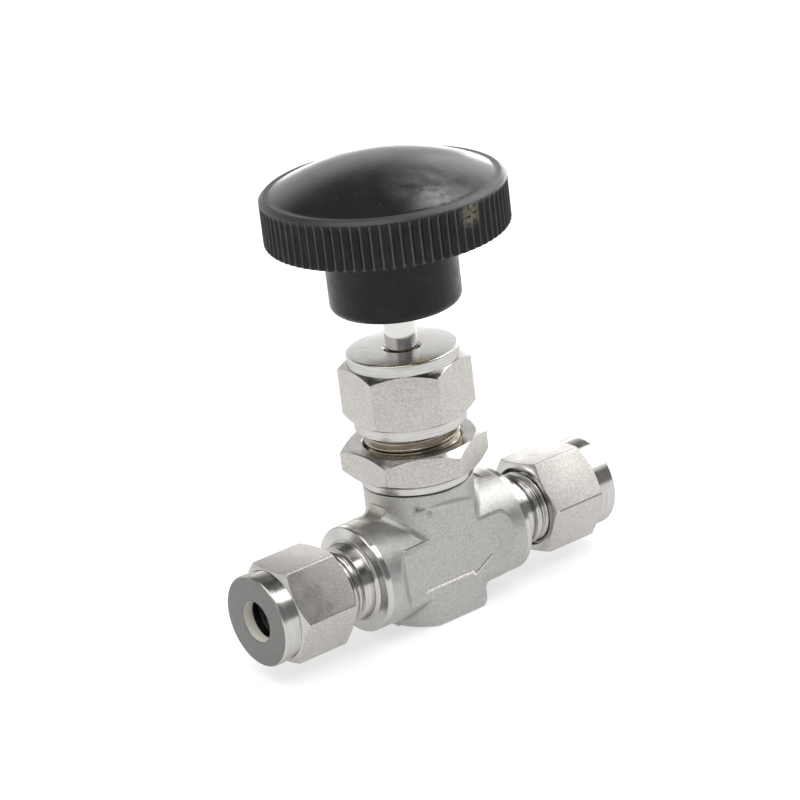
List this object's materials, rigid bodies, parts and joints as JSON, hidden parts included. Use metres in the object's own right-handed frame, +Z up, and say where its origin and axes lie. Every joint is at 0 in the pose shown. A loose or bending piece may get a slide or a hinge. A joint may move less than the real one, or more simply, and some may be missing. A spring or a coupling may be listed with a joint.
{
  "type": "needle valve",
  "caption": "Straight needle valve with a forged body, threaded bonnet, packing and panel nuts, round fluted knob and compression-fitting tube ends.",
  "frame": {"origin": "centre of the flat underside of the boss, below the crossing of the flow and stem axes", "axes": "+X flow direction, inlet to outlet; +Z up the stem to the knob; -Y the face with the flow arrow"},
  "size_m": [0.0636, 0.0358, 0.0703],
  "materials": {
    "forged_steel": "bead-blasted forging, satin",
    "nut_steel": "fine satin hexagon flats, turned ends",
    "machined_steel": "turned",
    "polished_steel": "ground and polished",
    "phenolic": "moulded phenolic, glossy dome, satin ribs",
    "insert_brass": "turned brass",
    "screw_steel": "black oxide",
    "packing_ptfe": "white PTFE"
  },
  "bodies": {
    "valve_body": {"body": "forged_steel", "bonnet_neck": "machined_steel", "lower_gland": "machined_steel", "packing_lower": "packing_ptfe", "packing_middle": "packing_ptfe", "packing_upper": "packing_ptfe"},
    "needle_unit": {"needle": "polished_steel", "needle_retainer": "machined_steel"},
    "handle": {"stem": "polished_steel", "knob": "phenolic", "knob_insert": "insert_brass", "set_screw": "screw_steel"},
    "gland": {"upper_gland": "machined_steel"},
    "packing_nut": {"packing_nut": "nut_steel"},
    "panel_nut": {"panel_nut": "nut_steel"},
    "left_ferrules": {"left_front_ferrule": "machined_steel", "left_back_ferrule": "machined_steel"},
    "left_nut": {"left_nut": "nut_steel"},
    "right_ferrules": {"right_front_ferrule": "machined_steel", "right_back_ferrule": "machined_steel"},
    "right_nut": {"right_nut": "nut_steel"}
  },
  "joints": [
    {"name": "stem_lift", "type": "slide", "parent": "valve_body", "child": "needle_unit", "axis": [0, 0, 1], "range_m": [-0.00508, 0]},
    {"name": "knob_turn", "type": "hinge", "parent": "needle_unit", "child": "handle", "pos_m": [0, 0, 0.04], "axis": [0, 0, 1], "range_deg": [-1440, 0]},
    {"name": "gland_lift", "type": "slide", "parent": "valve_body", "child": "gland", "axis": [0, 0, 1], "range_m": [0, 0.00106]},
    {"name": "packing_nut_turn", "type": "hinge", "parent": "gland", "child": "packing_nut", "pos_m": [0, 0, 0.035], "axis": [0, 0, 1], "range_deg": [0, 270]},
    {"name": "panel_nut_turn", "type": "hinge", "parent": "valve_body", "child": "panel_nut", "pos_m": [0, 0, 0.024], "axis": [0, 0, 1], "range_deg": [0, 510]},
    {"name": "left_ferrule_slide", "type": "slide", "parent": "valve_body", "child": "left_ferrules", "axis": [-1, 0, 0], "range_m": [0, 0.00392]},
    {"name": "left_nut_turn", "type": "hinge", "parent": "left_ferrules", "child": "left_nut", "pos_m": [-0.025, 0, 0.0092], "axis": [-1, 0, 0], "range_deg": [0, 1110]},
    {"name": "right_ferrule_slide", "type": "slide", "parent": "valve_body", "child": "right_ferrules", "axis": [1, 0, 0], "range_m": [0, 0.00392]},
    {"name": "right_nut_turn", "type": "hinge", "parent": "right_ferrules", "child": "right_nut", "pos_m": [0.025, 0, 0.0092], "axis": [1, 0, 0], "range_deg": [0, 1110]}
  ],
  "couplings": [
    {"joint": "stem_lift", "follows": "knob_turn", "m_per_rad": 0.00020212},
    {"joint": "gland_lift", "follows": "packing_nut_turn", "m_per_rad": 0.00022456},
    {"joint": "left_ferrule_slide", "follows": "left_nut_turn", "m_per_rad": 0.00020212},
    {"joint": "right_ferrule_slide", "follows": "right_nut_turn", "m_per_rad": 0.00020212}
  ]
}
